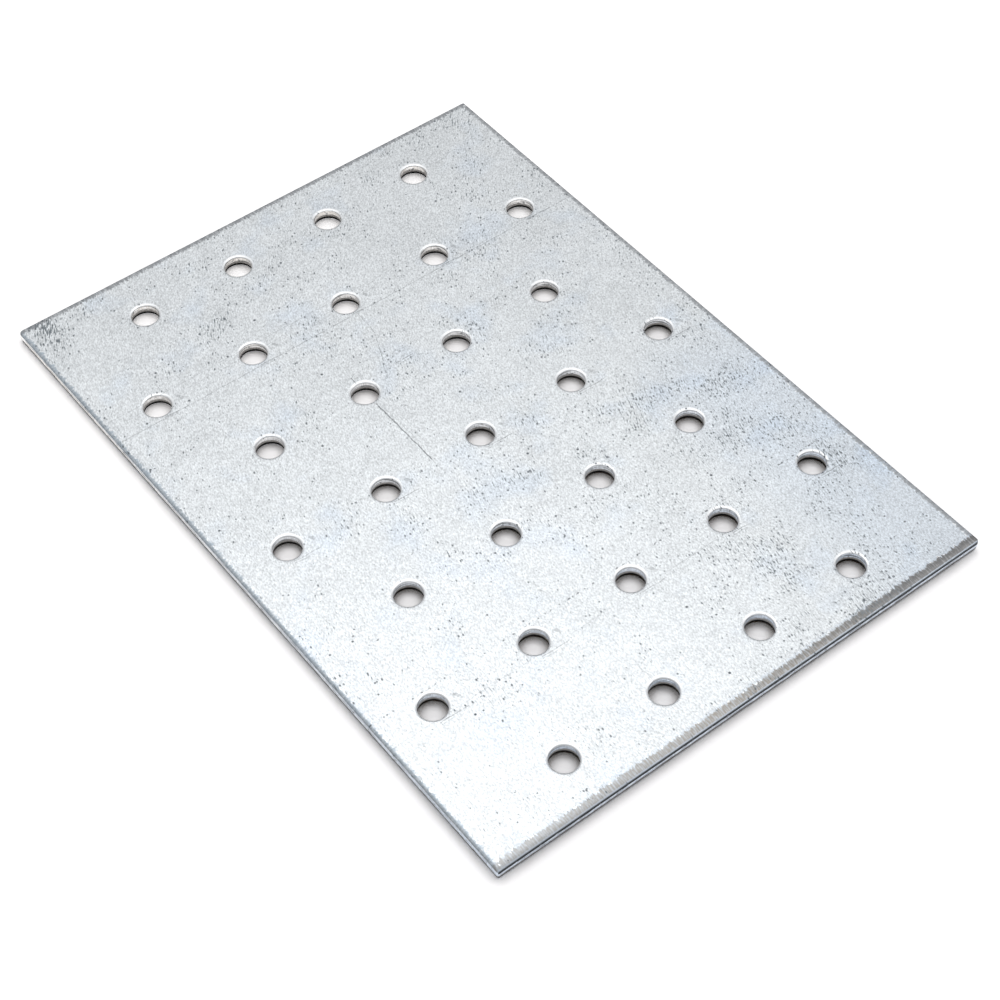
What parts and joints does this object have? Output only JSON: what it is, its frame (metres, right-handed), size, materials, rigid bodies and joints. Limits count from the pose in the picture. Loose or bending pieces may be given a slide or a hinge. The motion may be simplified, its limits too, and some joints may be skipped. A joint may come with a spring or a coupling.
{
  "type": "mending plate",
  "caption": "Flat rectangular perforated nail plate with staggered rows of round holes, for joining timbers side by side or end to end.",
  "frame": {"origin": "middle of the underside", "axes": "+X along the length, +Y across the width, +Z out of the upper face"},
  "size_m": [0.14, 0.1, 0.002],
  "materials": {
    "galvanised_steel": "hot-dip galvanised, skin-passed, matt grey-white with fine pits"
  },
  "bodies": {
    "root": {"plate": "galvanised_steel"}
  },
  "joints": []
}
